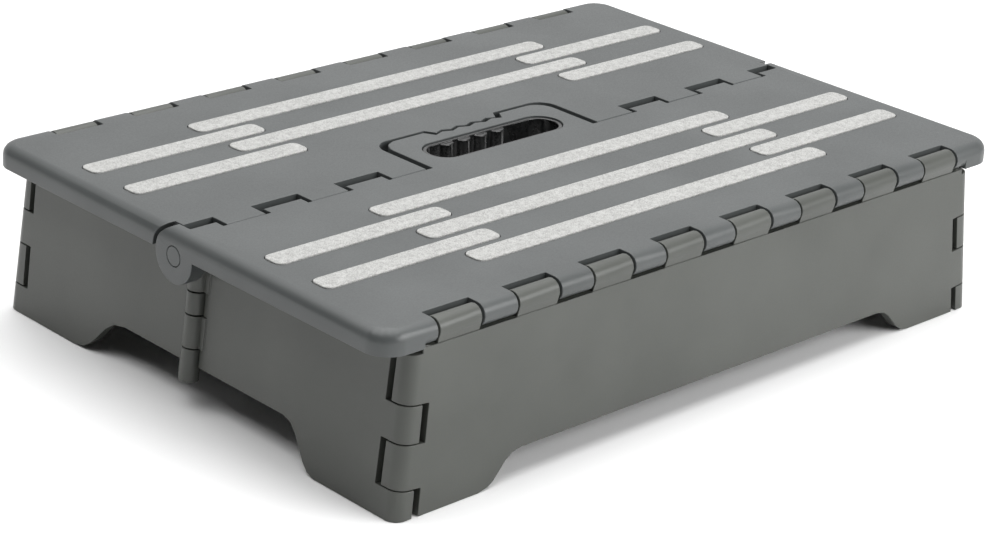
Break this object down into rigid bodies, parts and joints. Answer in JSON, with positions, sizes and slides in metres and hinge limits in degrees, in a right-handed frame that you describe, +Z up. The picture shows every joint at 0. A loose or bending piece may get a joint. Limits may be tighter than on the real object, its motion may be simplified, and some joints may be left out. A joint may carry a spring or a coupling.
{
  "type": "folding step stool",
  "caption": "Low rectangular folding riser step: a split deck with inset anti-slip strips and a carry slot, over hinged long panels and end panels that fold inwards.",
  "frame": {"origin": "on the floor below the middle of the deck", "axes": "+X along the long side, +Y from the front long panel to the rear one, +Z up"},
  "size_m": [0.48, 0.3362, 0.1046],
  "materials": {
    "deck_plastic": "satin moulded polypropylene, dark warm grey",
    "panel_plastic": "satin moulded polypropylene, dark warm grey, fine grain",
    "grip_strip": "gritty white anti-slip tape",
    "soft_grip": "smooth black soft-touch lining",
    "steel_pin": "plain drawn wire"
  },
  "bodies": {
    "front_frame": {"front_panel": "panel_plastic", "front_deck_pin": "steel_pin", "left_front_corner_pin": "steel_pin", "right_front_corner_pin": "steel_pin"},
    "front_deck": {"deck_front": "deck_plastic", "handle_grip": "soft_grip", "left_centre_pin": "steel_pin", "right_centre_pin": "steel_pin", "left_pin_cap": "deck_plastic", "right_pin_cap": "deck_plastic", "strip_front_1": "grip_strip", "strip_front_2_left": "grip_strip", "strip_front_2_right": "grip_strip", "strip_front_3": "grip_strip", "strip_front_4_left": "grip_strip", "strip_front_4_right": "grip_strip", "strip_front_5": "grip_strip"},
    "rear_deck": {"deck_rear": "deck_plastic", "strip_rear_1_left": "grip_strip", "strip_rear_1_right": "grip_strip", "strip_rear_2": "grip_strip", "strip_rear_3_left": "grip_strip", "strip_rear_3_right": "grip_strip", "strip_rear_4": "grip_strip"},
    "rear_frame": {"rear_panel": "panel_plastic", "rear_deck_pin": "steel_pin", "left_rear_corner_pin": "steel_pin", "right_rear_corner_pin": "steel_pin"},
    "left_front_end": {"left_end_front": "panel_plastic"},
    "left_rear_end": {"left_end_rear": "panel_plastic", "left_middle_pin": "steel_pin"},
    "right_front_end": {"right_end_front": "panel_plastic"},
    "right_rear_end": {"right_end_rear": "panel_plastic", "right_middle_pin": "steel_pin"}
  },
  "joints": [
    {"name": "fold", "type": "hinge", "parent": "front_frame", "child": "front_deck", "pos_m": [0, -0.16, 0.0975], "axis": [1, 0, 0], "range_deg": [0, 90]},
    {"name": "centre_fold", "type": "hinge", "parent": "front_deck", "child": "rear_deck", "pos_m": [0, 0, 0.09025], "axis": [1, 0, 0], "range_deg": [-180, 0]},
    {"name": "rear_deck_fold", "type": "hinge", "parent": "rear_deck", "child": "rear_frame", "pos_m": [0, 0.16, 0.0975], "axis": [1, 0, 0], "range_deg": [0, 90]},
    {"name": "left_corner_fold", "type": "hinge", "parent": "front_frame", "child": "left_front_end", "pos_m": [-0.214, -0.16, 0.091], "axis": [0.1045, 0, 0.9945], "range_deg": [-90, 0]},
    {"name": "left_middle_fold", "type": "hinge", "parent": "left_front_end", "child": "left_rear_end", "pos_m": [-0.22121, 0, 0.09176], "axis": [0.1045, 0, 0.9945], "range_deg": [0, 180]},
    {"name": "right_corner_fold", "type": "hinge", "parent": "front_frame", "child": "right_front_end", "pos_m": [0.214, -0.16, 0.091], "axis": [-0.1045, 0, 0.9945], "range_deg": [0, 90]},
    {"name": "right_middle_fold", "type": "hinge", "parent": "right_front_end", "child": "right_rear_end", "pos_m": [0.22121, 0, 0.09176], "axis": [-0.1045, 0, 0.9945], "range_deg": [-180, 0]}
  ],
  "couplings": [
    {"joint": "centre_fold", "follows": "fold", "ratio": -2},
    {"joint": "rear_deck_fold", "follows": "fold", "ratio": 1},
    {"joint": "left_corner_fold", "follows": "fold", "ratio": -1},
    {"joint": "left_middle_fold", "follows": "fold", "ratio": 2},
    {"joint": "right_corner_fold", "follows": "fold", "ratio": 1},
    {"joint": "right_middle_fold", "follows": "fold", "ratio": -2}
  ]
}
